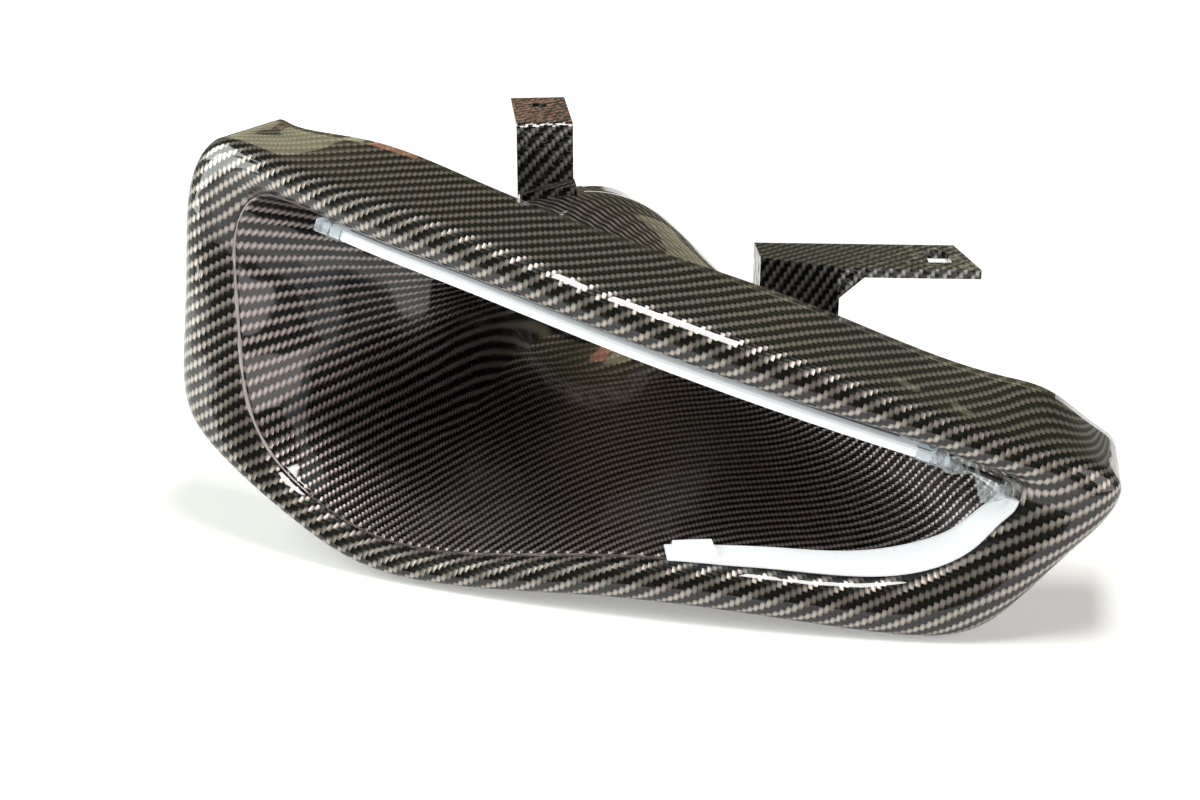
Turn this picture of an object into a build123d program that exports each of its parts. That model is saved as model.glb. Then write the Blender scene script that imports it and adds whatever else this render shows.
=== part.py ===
from build123d import *
import os
from math import cos, hypot, pi, radians, sin, sqrt, tan

# Headlight air intake: a carbon-fibre duct that stands in a car's headlamp opening.
# Millimetres and degrees. The origin is the middle of the spigot's open rear end, +Y runs out of the spigot,
# +Z is up and the mouth faces -Y.

# Face: the bowed surface that the crest of the rim lies on
FACE_CENTRE = (-3.0, -224.0, 4.0)
FACE_SWEEP = 20.0
FACE_RAKE = 10.0
FACE_BOW_RADIUS = 800.0

# Outer edge of the bezel, counter-clockwise from the pointed end, as (across, up) on the face
BEZEL_OUTLINE = [
    (189, -25), (180, -16.8), (160, -11.7), (141, -6.5), (63, 18), (-14, 39.5), (-92, 63), (-145, 77),
    (-184, 90), (-203, 91), (-214, 79), (-219, 50), (-221, 5), (-217, -33), (-197, -50), (-161, -71),
    (-129, -86), (-85, -91), (-15, -87), (70, -89), (110, -91), (137, -87), (156, -71), (174, -50.5),
    (186, -36),
]
HOOD_POINTS = range(2, 8)
TUCKED_POINTS = range(9, 15)

# Inner edge of the mouth, point for point beside the bezel's outline
MOUTH_OUTLINE = [
    (158.5, -31), (153.5, -25.5), (140, -20.7), (122, -15), (60, 1), (-14, 22), (-83, 43), (-130, 56.5),
    (-170, 69.5), (-187, 70), (-196.5, 58.5), (-198.5, 37), (-196, 8), (-190, -28), (-174, -51.5), (-152.5, -66),
    (-120, -78), (-76, -79), (-10, -71), (62, -70), (97, -70.5), (126, -65), (143, -54), (151, -44.5),
    (157, -37.5),
]

# Front bezel
BEZEL_DEPTH = 50.0
BEZEL_WALL = 2.2
RIM_ROLL_DEPTH = 9.0
MOUTH_ROLL_DEPTH = 7.0
ROLL_FULLNESS = 0.85
ROLL_STEPS = 12
LIP_WALL = 2.2
LIP_DEPTH = 24.0
LIP_COVER = 1.0
HOOD_ANGLE = 9.0
TUCK_ANGLE = 10.0

# Intake funnel and hose spigot
FUNNEL_WALL = 2.0
FUNNEL_SETBACK = 8.0
SPIGOT_RADIUS = 38.0
SPIGOT_LENGTH = 35.0
HOSE_STOP_STEP = 0.8
THROAT_SETBACK = 70.0
THROAT_CENTRE = (-13.0, 6.0)
THROAT_HALF_WIDTH = 58.0
THROAT_HALF_HEIGHT = 46.0

# Brackets, bonded on top of the funnel
ADHESIVE_BED = 1.0
ADHESIVE_MARGIN = 4.0
TOP_BRACKET_WIDTH = 27.0
TOP_BRACKET_THICKNESS = 3.0
TOP_BRACKET_PLACE = (-28.5, -60.0)
TOP_BRACKET_HEIGHT = 83.0
TOP_FLANGE_LENGTH = 50.0
TOP_FLANGE_TILT = 4.0
TOP_FOOT_LENGTH = 22.0
TOP_FOOT_THICKNESS = 4.0
TOP_HOLE_SIZE = 7.0
TOP_HOLE_FROM_BEND = 35.0
TOP_BEND_RADIUS = 3.5
SIDE_BRACKET_PLACE = (62.0, -122.0)
SIDE_BRACKET_TURN = -9.0
SIDE_BRACKET_HEIGHT = 39.0
SIDE_TAB_LENGTH = 96.0
SIDE_TAB_WIDTH = 40.0
SIDE_TAB_THICKNESS = 4.0
SIDE_TAB_END_SKEW = 6.0
SIDE_POST_WIDTH = 36.0
SIDE_POST_WALL = 3.5
SIDE_POST_SIDE_DEPTH = 25.0
SIDE_POST_HEIGHT = 32.0
SIDE_GUSSET = 11.0
SIDE_FOOT_LENGTH = 18.0
SIDE_FOOT_WIDTH = 22.0
SIDE_SLOT = (10.0, 20.0)
SIDE_SLOT_FROM_END = 16.0
SIDE_SLOT_OFF_MIDDLE = 1.5

# Light strips, with places along the mouth counted in points of its outline
STRIP_HEIGHT = 5.0
STRIP_DEPTH = 9.0
STRIP_SETBACK = 5.0
STRIP_EDGE_RADIUS = 1.5
UPPER_STRIP_PLACES = [3.02, 4, 5, 6, 7, 7.32]
LOWER_STRIP_PLACES = [18.35, 18.7, 19, 20, 21, 22, 23, 24, 24.5]
LOWER_STRIP_HEIGHTS = [1.2, 3, 3.8, 4.6, 5, 5, 4.8, 4.6, 4.4]
LOWER_STRIP_DEPTHS = [9, 9, 9, 9, 8.5, 6.5, 5.5, 5, 5]
TAPE_THICKNESS = 0.8
TAPE_INSET = 3.5
TAPE_REACH = 1.5
UPPER_TAPE_PLACES = [3.2, 4, 5, 6, 7, 7.15]
LOWER_TAPE_PLACES = [18.8, 19, 20, 21]
CAP_WALL = 0.7
LEFT_CAP_PLACES = [7.18, 7.34, 7.5]
RIGHT_CAP_PLACES = [2.72, 2.9, 3.12]
LOWER_CAP_PLACES = [18.4, 18.5, 18.64]
LOWER_CAP_HEIGHTS = [2.4, 3.4, 4.4]
LOWER_CAP_INSET = 1.0
LEAD_DIAMETER = 2.2
LEAD_RUN = 6.0
LEAD_RISE = 4.5
LEAD_BEND_RADIUS = 3.0
GLUE_RADIUS = 4.7

face_sweep = radians(FACE_SWEEP)
rake = radians(FACE_RAKE)
face_normal = (-sin(face_sweep) * cos(rake), -cos(face_sweep) * cos(rake), sin(rake))
face_across = (cos(face_sweep), -sin(face_sweep), 0)
FACE = Plane(origin=FACE_CENTRE, x_dir=face_across, z_dir=face_normal)
POINTS = len(MOUTH_OUTLINE)


def grown(outline, amount):
    """The outline moved outward by amount, point by point along its own normals."""
    moved = []
    for index, (across, up) in enumerate(outline):
        before = outline[index - 1]
        after = outline[(index + 1) % len(outline)]
        run = after[0] - before[0]
        rise = after[1] - before[1]
        length = hypot(run, rise)
        moved.append((across + amount * rise / length, up - amount * run / length))
    return moved


def shares_of(outline):
    """How far round the outline each point lies, from 0 to 1, with the closing 1 at the end."""
    steps = []
    for index, point in enumerate(outline):
        after = outline[(index + 1) % len(outline)]
        steps.append(hypot(after[0] - point[0], after[1] - point[1]))
    total = sum(steps)
    shares = [0.0]
    for step in steps:
        shares.append(shares[-1] + step / total)
    return shares


MOUTH_SHARES = shares_of(MOUTH_OUTLINE)
BEZEL_SHARES = shares_of(BEZEL_OUTLINE)


def loop(points, shares):
    return Wire([Edge.make_spline(points, periodic=True, parameters=shares)])


def bow_height(across, depth):
    """Height above the face plane of the bowed surface that lies depth behind the rim's crest."""
    return sqrt((FACE_BOW_RADIUS - depth) ** 2 - across ** 2) - FACE_BOW_RADIUS


def face_point(across, up, height):
    return FACE.from_local_coords(Vector(across, up, height))


def bow_point(across, up, depth):
    return face_point(across, up, bow_height(across, depth))


def behind_bow(depth):
    """Everything that lies more than depth behind the bowed face."""
    roll = Cylinder(FACE_BOW_RADIUS - depth, 2 * FACE_BOW_RADIUS)
    return FACE.location * Pos(0, 0, -FACE_BOW_RADIUS) * Rot(90, 0, 0) * roll


def throat_point(index, grow):
    turn = 2 * pi * MOUTH_SHARES[index]
    across = THROAT_CENTRE[0] + (THROAT_HALF_WIDTH + grow) * cos(turn)
    up = THROAT_CENTRE[1] + (THROAT_HALF_HEIGHT + grow) * sin(turn)
    return Vector(across, -THROAT_SETBACK, up)


def wall_taper(index, outline, grow):
    """How far the funnel's wall moves across and up the face for each millimetre it goes back."""
    across, up = outline[index]
    start = bow_height(across, 0)
    end = FACE.to_local_coords(throat_point(index, grow))
    run = start - end.Z
    return (end.X - across) / run, (end.Y - up) / run, start


FUNNEL_AHEAD = 12.0
FUNNEL_STATIONS = (0.08, 0.16, 0.25, 0.35, 0.5, 0.7)


def funnel_body(grow):
    """The filled funnel and spigot, with every wall moved outward by grow."""
    outline = grown(MOUTH_OUTLINE, FUNNEL_WALL + grow)
    front = []
    mouth = []
    throat = []
    collar = []
    for index, (across, up) in enumerate(outline):
        taper_across, taper_up, start = wall_taper(index, outline, grow)
        ahead = FUNNEL_AHEAD - start
        front.append(face_point(across - taper_across * ahead, up - taper_up * ahead, FUNNEL_AHEAD))
        mouth.append(face_point(across, up, start))
        throat.append(throat_point(index, grow))
        turn = 2 * pi * MOUTH_SHARES[index]
        radius = SPIGOT_RADIUS + HOSE_STOP_STEP + grow
        collar.append(Vector(radius * cos(turn), -SPIGOT_LENGTH, radius * sin(turn)))
    loops = [loop(front, MOUTH_SHARES)]
    for station in FUNNEL_STATIONS:
        between = [near + (far - near) * station for near, far in zip(mouth, throat)]
        loops.append(loop(between, MOUTH_SHARES))
    loops.append(loop(throat, MOUTH_SHARES))
    loops.append(loop(collar, MOUTH_SHARES))
    return Solid.make_loft(loops)


def spigot_bar(radius, start, end):
    bar = Cylinder(radius, end - start, align=(Align.CENTER, Align.CENTER, Align.MIN))
    return Pos(0, start, 0) * Rot(-90, 0, 0) * bar


# Intake funnel: one moulding, from the raw front edge inside the lip to the open rear end of the spigot
funnel_outer = funnel_body(0)
funnel_inner = funnel_body(-FUNNEL_WALL)
spigot = spigot_bar(SPIGOT_RADIUS, -SPIGOT_LENGTH, 0)
bore = spigot_bar(SPIGOT_RADIUS - FUNNEL_WALL, -SPIGOT_LENGTH - FUNNEL_WALL, FUNNEL_WALL)
funnel_filled = funnel_outer & behind_bow(FUNNEL_SETBACK)
intake_funnel = funnel_filled + spigot - funnel_inner - bore

# Front bezel: the outer moulding, a closed ring of bands between loops that run round the mouth.
# In section the loops go from the back of the hood over the rolled rim, along the lip and back inside.
# The funnel's front edge sits in a step cut into the lip.
def rim_loop(outer, mouth, share, depth):
    """The loop that lies share of the way from the outer edge to the mouth, depth behind the rim's crest."""
    points = []
    for index in range(POINTS):
        rise = tan(rake)
        if index in HOOD_POINTS:
            rise = tan(rake + radians(HOOD_ANGLE))
        tuck = 0.0
        if index in TUCKED_POINTS:
            tuck = tan(radians(TUCK_ANGLE))
        taper_across, taper_up, start = wall_taper(index, mouth, 0)
        across = outer[index][0] + (mouth[index][0] - outer[index][0]) * share
        up = outer[index][1] + (mouth[index][1] - outer[index][1]) * share
        across += depth * (tuck * (1 - share) + taper_across * share)
        up += depth * (rise * (1 - share) + taper_up * share)
        points.append(bow_point(across, up, depth))
    shares = [(1 - share) * far + share * near for far, near in zip(BEZEL_SHARES, MOUTH_SHARES)]
    return Edge.make_spline(points, periodic=True, parameters=shares)


def roll_loops(outer, mouth, inset):
    """The loops of the rolled rim, from the outer wall over the crest to the mouth."""
    loops = []
    for step in range(ROLL_STEPS + 1):
        turn = pi * step / ROLL_STEPS
        reach = abs(cos(turn)) ** ROLL_FULLNESS
        share = 0.5 - 0.5 * reach
        if turn > pi / 2:
            share = 0.5 + 0.5 * reach
        roll_depth = RIM_ROLL_DEPTH + (MOUTH_ROLL_DEPTH - RIM_ROLL_DEPTH) * share
        drop = roll_depth * (1 - abs(sin(turn)) ** ROLL_FULLNESS)
        loops.append(rim_loop(outer, mouth, share, inset + drop))
    return loops


inside_outline = grown(BEZEL_OUTLINE, -BEZEL_WALL)
lip_front = grown(MOUTH_OUTLINE, FUNNEL_WALL - LIP_COVER)
lip_back = grown(MOUTH_OUTLINE, FUNNEL_WALL + LIP_WALL)
ring = [rim_loop(BEZEL_OUTLINE, lip_front, 0, BEZEL_DEPTH)]
ring += roll_loops(BEZEL_OUTLINE, lip_front, 0)
ring.append(rim_loop(BEZEL_OUTLINE, lip_front, 1, LIP_DEPTH))
ring.append(rim_loop(BEZEL_OUTLINE, lip_back, 1, LIP_DEPTH))
ring += reversed(roll_loops(inside_outline, lip_back, BEZEL_WALL))
ring.append(rim_loop(inside_outline, lip_back, 0, BEZEL_DEPTH))
bands = [Face.make_surface_from_curves(ring[index - 1], edge) for index, edge in enumerate(ring)]
front_bezel = Solid(Shell(bands)) - funnel_filled


# Brackets: their feet follow the funnel's skin and lie on a bed of adhesive that squeezes out round them
bed_skin = funnel_body(ADHESIVE_BED)


def on_skin(thickness, footprint):
    """A layer of the given thickness on the adhesive bed, over the footprint."""
    return (funnel_body(ADHESIVE_BED + thickness) & footprint) - bed_skin


def bed_under(footprint):
    return (bed_skin & footprint) - funnel_outer


# Top bracket: a strap with a foot that runs forward, an upright web and a flange that runs back
bracket_x, bracket_y = TOP_BRACKET_PLACE
tilt = radians(TOP_FLANGE_TILT)
flange_end_y = bracket_y + TOP_FLANGE_LENGTH * cos(tilt)
flange_end_z = TOP_BRACKET_HEIGHT + TOP_FLANGE_LENGTH * sin(tilt)
strap = Polyline(
    (0, bracket_y, 0),
    (0, bracket_y, TOP_BRACKET_HEIGHT),
    (0, flange_end_y, flange_end_z),
    (0, flange_end_y + TOP_BRACKET_THICKNESS * sin(tilt), flange_end_z - TOP_BRACKET_THICKNESS * cos(tilt)),
    (0, bracket_y + TOP_BRACKET_THICKNESS, TOP_BRACKET_HEIGHT - TOP_BRACKET_THICKNESS),
    (0, bracket_y + TOP_BRACKET_THICKNESS, 0),
    close=True,
)
strap_solid = Pos(bracket_x, 0, 0) * extrude(make_face(strap), TOP_BRACKET_WIDTH / 2, dir=(1, 0, 0), both=True)
outer_bend = strap_solid.edges().filter_by(Axis.X).sort_by_distance((bracket_x, bracket_y, TOP_BRACKET_HEIGHT))[0]
strap_solid = fillet(outer_bend, TOP_BEND_RADIUS)
foot_box = Pos(bracket_x, bracket_y + TOP_BRACKET_THICKNESS, 0) * Box(
    TOP_BRACKET_WIDTH, TOP_FOOT_LENGTH, TOP_BRACKET_HEIGHT, align=(Align.CENTER, Align.MAX, Align.MIN)
)
hole_y = bracket_y + TOP_HOLE_FROM_BEND
hole_cut = Pos(bracket_x, hole_y, TOP_BRACKET_HEIGHT) * Box(TOP_HOLE_SIZE, TOP_HOLE_SIZE, TOP_FLANGE_LENGTH)
top_bracket = (strap_solid - bed_skin) + on_skin(TOP_FOOT_THICKNESS, foot_box) - hole_cut
top_bed_box = Pos(bracket_x, bracket_y + TOP_BRACKET_THICKNESS + ADHESIVE_MARGIN, 0) * Box(
    TOP_BRACKET_WIDTH + 2 * ADHESIVE_MARGIN,
    TOP_FOOT_LENGTH + 2 * ADHESIVE_MARGIN,
    TOP_BRACKET_HEIGHT,
    align=(Align.CENTER, Align.MAX, Align.MIN),
)
top_bracket_adhesive = bed_under(top_bed_box)


# Side bracket: a flat tab on a post whose front and left walls go down to the funnel
def side_place(height):
    return Pos(SIDE_BRACKET_PLACE[0], SIDE_BRACKET_PLACE[1], height) * Rot(0, 0, SIDE_BRACKET_TURN)


post_left = (2.0, -SIDE_POST_SIDE_DEPTH)
post_right = (SIDE_POST_WIDTH, 2.0 - SIDE_TAB_WIDTH)
tab_outline = Polyline(
    (0, 0),
    (SIDE_TAB_LENGTH - SIDE_TAB_END_SKEW, 0),
    (SIDE_TAB_LENGTH, -SIDE_TAB_WIDTH),
    (SIDE_POST_WIDTH + SIDE_GUSSET, -SIDE_TAB_WIDTH),
    post_right,
    post_left,
    close=True,
)
tab = extrude(make_face(tab_outline), -SIDE_TAB_THICKNESS)
slot_across = SIDE_TAB_LENGTH - SIDE_SLOT_FROM_END
slot_up = SIDE_SLOT_OFF_MIDDLE - SIDE_TAB_WIDTH / 2
slot = Pos(slot_across, slot_up) * Box(SIDE_SLOT[0], SIDE_SLOT[1], 4 * SIDE_TAB_THICKNESS)
post_outline = Polyline(
    (0, 0),
    post_left,
    post_right,
    (post_right[0], post_right[1] + SIDE_POST_WALL),
    (post_left[0] + SIDE_POST_WALL, post_left[1] + SIDE_POST_WALL),
    (SIDE_POST_WALL, 0),
    close=True,
)
post = extrude(make_face(post_outline), -SIDE_POST_HEIGHT)
gusset_outline = Polyline(
    (SIDE_POST_WIDTH - 1, 0),
    (SIDE_POST_WIDTH + SIDE_GUSSET, 0),
    (SIDE_POST_WIDTH - 1, -SIDE_GUSSET),
    close=True,
)
gusset_face = Pos(0, -SIDE_TAB_WIDTH + 2, -SIDE_TAB_THICKNESS) * Rot(90, 0, 0) * make_face(gusset_outline)
gusset = extrude(gusset_face, -SIDE_POST_WALL)
side_raw = side_place(SIDE_BRACKET_HEIGHT) * (tab + post + gusset - slot)
side_foot_box = side_place(SIDE_BRACKET_HEIGHT - SIDE_POST_HEIGHT) * Pos(2, -SIDE_POST_SIDE_DEPTH) * Box(
    SIDE_FOOT_WIDTH, SIDE_FOOT_LENGTH, SIDE_POST_HEIGHT, align=(Align.MIN, Align.MIN, Align.MIN)
)
side_bracket = (side_raw - bed_skin) + on_skin(SIDE_POST_WALL, side_foot_box)
side_bed_box = side_place(SIDE_BRACKET_HEIGHT - SIDE_POST_HEIGHT) * Pos(-2, -SIDE_TAB_WIDTH) * Box(
    SIDE_POST_WIDTH, SIDE_TAB_WIDTH + 2, SIDE_POST_HEIGHT, align=(Align.MIN, Align.MIN, Align.MIN)
)
side_bracket_adhesive = bed_under(side_bed_box)


# Light strips: bodies that follow the mouth's inner wall. A place on the wall is counted in outline points,
# inward is measured from the wall towards the middle of the mouth, and back from the rim's crest.
def wall_point(place, inward, back):
    index = int(place)
    share = place - index
    after = (index + 1) % POINTS
    ends = []
    for corner in (index, after):
        before_point = MOUTH_OUTLINE[corner - 1]
        after_point = MOUTH_OUTLINE[(corner + 1) % POINTS]
        run = after_point[0] - before_point[0]
        rise = after_point[1] - before_point[1]
        length = hypot(run, rise)
        taper_across, taper_up, start = wall_taper(corner, MOUTH_OUTLINE, -FUNNEL_WALL)
        across = MOUTH_OUTLINE[corner][0] - inward * rise / length + taper_across * back
        up = MOUTH_OUTLINE[corner][1] + inward * run / length + taper_up * back
        ends.append(face_point(across, up, start - back))
    return ends[0] + (ends[1] - ends[0]) * share


def rounded_section(inward, height, back, depth, radius):
    """Points of a rounded rectangle, as (inward, back), three to each corner."""
    radius = min(radius, height * 0.3)
    near = inward + radius
    far = inward + height - radius
    front = back + radius
    rear = back + depth - radius
    points = []
    for middle_inward, middle_back, first in ((far, front, -90), (far, rear, 0), (near, rear, 90), (near, front, 180)):
        for step in (0, 45, 90):
            turn = radians(first + step)
            points.append((middle_inward + radius * cos(turn), middle_back + radius * sin(turn)))
    return points


def wall_body(places, sections):
    """The solid that runs along the wall through the sections at the places."""
    rails = []
    for corner in range(len(sections[0])):
        points = [wall_point(place, *section[corner]) for place, section in zip(places, sections)]
        rails.append(Edge.make_spline(points))
    faces = [Face.make_surface_from_curves(rails[index - 1], rail) for index, rail in enumerate(rails)]
    for end in (0, -1):
        corners = [wall_point(places[end], *point) for point in sections[end]]
        faces.append(Face(Wire.make_polygon(corners)))
    return Solid(Shell(faces))


def strip_body(places, heights, depths):
    sections = []
    for height, depth in zip(heights, depths):
        sections.append(rounded_section(TAPE_THICKNESS, height, STRIP_SETBACK, depth, STRIP_EDGE_RADIUS))
    return wall_body(places, sections)


def tape_body(places, strip):
    """The bonding tape: it fills the space between the strip's outer side and the funnel's wall."""
    front = STRIP_SETBACK + TAPE_INSET
    rear = STRIP_SETBACK + STRIP_DEPTH - STRIP_EDGE_RADIUS
    section = [
        (TAPE_THICKNESS + TAPE_REACH, front),
        (TAPE_THICKNESS + TAPE_REACH, rear),
        (-TAPE_REACH, rear),
        (-TAPE_REACH, front),
    ]
    return (wall_body(places, [section] * len(places)) & funnel_inner) - strip


def cap_body(places, heights, front):
    rear = STRIP_SETBACK + STRIP_DEPTH + CAP_WALL
    sections = []
    for height in heights:
        low = TAPE_THICKNESS - CAP_WALL
        sections.append(rounded_section(low, height + 2 * CAP_WALL, front, rear - front, STRIP_EDGE_RADIUS))
    return wall_body(places, sections)


upper_count = len(UPPER_STRIP_PLACES)
upper_light_strip = strip_body(UPPER_STRIP_PLACES, [STRIP_HEIGHT] * upper_count, [STRIP_DEPTH] * upper_count)
upper_strip_tape = tape_body(UPPER_TAPE_PLACES, upper_light_strip)
cap_front = STRIP_SETBACK - CAP_WALL
left_cap_block = cap_body(LEFT_CAP_PLACES, [STRIP_HEIGHT] * len(LEFT_CAP_PLACES), cap_front)
upper_strip_cap_left = left_cap_block - upper_light_strip
right_cap_block = cap_body(RIGHT_CAP_PLACES, [STRIP_HEIGHT] * len(RIGHT_CAP_PLACES), cap_front)
upper_strip_cap_right = right_cap_block - upper_light_strip
lower_light_strip = strip_body(LOWER_STRIP_PLACES, LOWER_STRIP_HEIGHTS, LOWER_STRIP_DEPTHS) & funnel_inner
lower_strip_tape = tape_body(LOWER_TAPE_PLACES, lower_light_strip)
lower_cap_block = cap_body(LOWER_CAP_PLACES, LOWER_CAP_HEIGHTS, STRIP_SETBACK + LOWER_CAP_INSET)
lower_strip_cap = (lower_cap_block & funnel_inner) - lower_light_strip

# Lead: out of the upper strip's right cap, round the corner of the mouth and into the end of the lower strip
lead_inward = TAPE_THICKNESS + STRIP_HEIGHT / 2
lead_back = STRIP_SETBACK + STRIP_DEPTH / 2
lead_start = wall_point(RIGHT_CAP_PLACES[0], lead_inward, lead_back)
lead_start_way = (lead_start - wall_point(RIGHT_CAP_PLACES[1], lead_inward, lead_back)).normalized()
lead_end_back = STRIP_SETBACK + LOWER_STRIP_DEPTHS[-1] / 2
lead_end = wall_point(LOWER_STRIP_PLACES[-1], lead_inward, lead_end_back)
lead_end_way = (lead_end - wall_point(LOWER_STRIP_PLACES[-2], lead_inward, lead_end_back)).normalized()
lead_line = FilletPolyline(
    lead_start - lead_start_way,
    lead_start + lead_start_way * LEAD_RUN,
    lead_end + lead_end_way * LEAD_RISE,
    lead_end - lead_end_way,
    radius=LEAD_BEND_RADIUS,
)
lead_section = Plane(origin=lead_line @ 0, z_dir=lead_line % 0) * Circle(LEAD_DIAMETER / 2)
lead_whole = sweep(lead_section, path=lead_line)
strip_lead = lead_whole - right_cap_block - lower_light_strip

# Glue: a lump of hot-melt in the corner, over the lead and the end of the lower strip
glue_middle = lead_end + lead_end_way * LEAD_RISE
glue_ball = Pos(glue_middle.X, glue_middle.Y, glue_middle.Z) * Sphere(GLUE_RADIUS)
corner_glue = ((glue_ball & funnel_inner) - lower_light_strip) - lead_whole

PARTS = {
    "front_bezel": front_bezel,
    "intake_funnel": intake_funnel,
    "top_bracket": top_bracket,
    "top_bracket_adhesive": top_bracket_adhesive,
    "side_bracket": side_bracket,
    "side_bracket_adhesive": side_bracket_adhesive,
    "upper_light_strip": upper_light_strip,
    "upper_strip_cap_left": upper_strip_cap_left,
    "upper_strip_cap_right": upper_strip_cap_right,
    "upper_strip_tape": upper_strip_tape,
    "lower_light_strip": lower_light_strip,
    "lower_strip_cap": lower_strip_cap,
    "lower_strip_tape": lower_strip_tape,
    "strip_lead": strip_lead,
    "corner_glue": corner_glue,
}
os.makedirs("parts", exist_ok=True)
for name, solid in PARTS.items():
    export_step(solid, "parts/" + name + ".step")
    print(name, round(solid.volume), solid.is_valid, len(solid.solids()), flush=True)
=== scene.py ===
import math

import bpy
import numpy as np
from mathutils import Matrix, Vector


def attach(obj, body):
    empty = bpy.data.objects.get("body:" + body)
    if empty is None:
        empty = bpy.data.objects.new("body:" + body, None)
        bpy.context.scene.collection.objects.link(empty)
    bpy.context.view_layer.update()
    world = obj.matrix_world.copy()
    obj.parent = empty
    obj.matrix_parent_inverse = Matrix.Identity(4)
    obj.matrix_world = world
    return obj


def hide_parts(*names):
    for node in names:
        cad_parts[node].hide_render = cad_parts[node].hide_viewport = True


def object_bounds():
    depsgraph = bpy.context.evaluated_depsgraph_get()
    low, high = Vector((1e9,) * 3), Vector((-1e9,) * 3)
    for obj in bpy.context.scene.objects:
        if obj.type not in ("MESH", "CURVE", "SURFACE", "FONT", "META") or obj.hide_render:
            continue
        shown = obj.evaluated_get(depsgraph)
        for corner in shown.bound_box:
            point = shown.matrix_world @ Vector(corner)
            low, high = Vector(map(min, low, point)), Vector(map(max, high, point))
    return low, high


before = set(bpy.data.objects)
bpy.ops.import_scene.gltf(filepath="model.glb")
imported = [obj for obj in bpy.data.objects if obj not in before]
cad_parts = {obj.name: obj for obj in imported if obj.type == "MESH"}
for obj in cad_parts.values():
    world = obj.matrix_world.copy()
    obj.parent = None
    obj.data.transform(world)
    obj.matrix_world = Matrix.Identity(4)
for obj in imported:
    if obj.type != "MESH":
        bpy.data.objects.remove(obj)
cad_low, cad_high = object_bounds()

# Front bezel: the outer moulding, with its hood, its rolled rim and the lip round the mouth.
# Two plies of 2x2 twill carbon cloth, laid in a mould square to the top edge, under clear coat.
# It is bonded over the front edge of the funnel.
MILLIMETRE = 0.001
FACE_MIDDLE = np.array([-3.0, -224.0, 4.0])
FACE_SWEEP = math.radians(20)
FACE_RAKE = math.radians(10)
FACE_BOW = 800.0
face_across = np.array([math.cos(FACE_SWEEP), -math.sin(FACE_SWEEP), 0.0])
face_out = np.array([
    -math.sin(FACE_SWEEP) * math.cos(FACE_RAKE),
    -math.cos(FACE_SWEEP) * math.cos(FACE_RAKE),
    math.sin(FACE_RAKE),
])
face_up = np.cross(face_out, face_across)
BEZEL_EDGE = np.array([
    (189, -25), (180, -16.8), (160, -11.7), (141, -6.5), (63, 18), (-14, 39.5), (-92, 63),
    (-145, 77), (-184, 90), (-203, 91), (-214, 79), (-219, 50), (-221, 5), (-217, -33),
    (-197, -50), (-161, -71), (-129, -86), (-85, -91), (-15, -87), (70, -89), (110, -91),
    (137, -87), (156, -71), (174, -50.5), (186, -36),
])
MOUTH_EDGE = np.array([
    (158.5, -31), (153.5, -25.5), (140, -20.7), (122, -15), (60, 1), (-14, 22), (-83, 43),
    (-130, 56.5), (-170, 69.5), (-187, 70), (-196.5, 58.5), (-198.5, 37), (-196, 8), (-190, -28),
    (-174, -51.5), (-152.5, -66), (-120, -78), (-76, -79), (-10, -71), (62, -70), (97, -70.5),
    (126, -65), (143, -54), (151, -44.5), (157, -37.5),
])
EDGE_POINTS = len(MOUTH_EDGE)
HOOD_POINTS = range(2, 8)
TUCKED_POINTS = range(9, 15)
HOOD_RISE = math.tan(FACE_RAKE + math.radians(9))
BASE_RISE = math.tan(FACE_RAKE)
SIDE_TUCK = math.tan(math.radians(10))
BEZEL_DEPTH = 50.0
BEZEL_WALL = 2.2
HOOD_LOOPS = 9
HOOD_FRONT_GAP = 3.0
HOOD_BACK_GAP = 0.1
RIM_ROLL = 9.0
MOUTH_ROLL = 7.0
ROLL_FULLNESS = 0.85
ROLL_STEPS = 36
INSIDE_ROLL_STEPS = 12
LIP_WALL = 2.2
LIP_COVER = 1.0
LIP_FRONT = 7.9
LIP_END = 8.6
FUNNEL_WALL = 2.0
THROAT_BACK = 70.0
THROAT_MIDDLE = (-13.0, 6.0)
THROAT_HALF = (58.0, 46.0)
COLUMNS = 520
SKIN_INSET = 0.04
CLOTH_TURN = math.radians(16)


def edge_shares(edge):
    """How far round the edge each point lies, from 0 to 1."""
    steps = np.linalg.norm(np.roll(edge, -1, axis=0) - edge, axis=1)
    return np.concatenate([[0.0], np.cumsum(steps) / steps.sum()])


def edge_normals(edge):
    """The outward way at each point of the edge."""
    along = np.roll(edge, -1, axis=0) - np.roll(edge, 1, axis=0)
    along /= np.linalg.norm(along, axis=1)[:, None]
    return np.stack([along[:, 1], -along[:, 0]], axis=1)


def on_span(start, end, start_bend, end_bend, gap, far):
    """The point of a cubic span that is far along its gap."""
    near = gap - far
    return (
        start_bend * near ** 3 / (6 * gap)
        + end_bend * far ** 3 / (6 * gap)
        + (start / gap - start_bend * gap / 6) * near
        + (end / gap - end_bend * gap / 6) * far
    )


def smooth_loop(points, shares, places):
    """The smooth closed curve through the points, read at the places."""
    count = len(points)
    gaps = np.diff(shares)
    slopes = (np.roll(points, -1, axis=0) - points) / gaps[:, None]
    system = np.zeros((count, count))
    for index in range(count):
        before = gaps[index - 1]
        after = gaps[index]
        system[index, index - 1] += before / 6
        system[index, index] += (before + after) / 3
        system[index, (index + 1) % count] += after / 6
    bends = np.linalg.solve(system, slopes - np.roll(slopes, 1, axis=0))
    spans = np.clip(np.searchsorted(shares, places, side="right") - 1, 0, count - 1)
    ends = (spans + 1) % count
    gap = gaps[spans][:, None]
    far = (places - shares[spans])[:, None]
    return on_span(points[spans], points[ends], bends[spans], bends[ends], gap, far)


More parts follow.
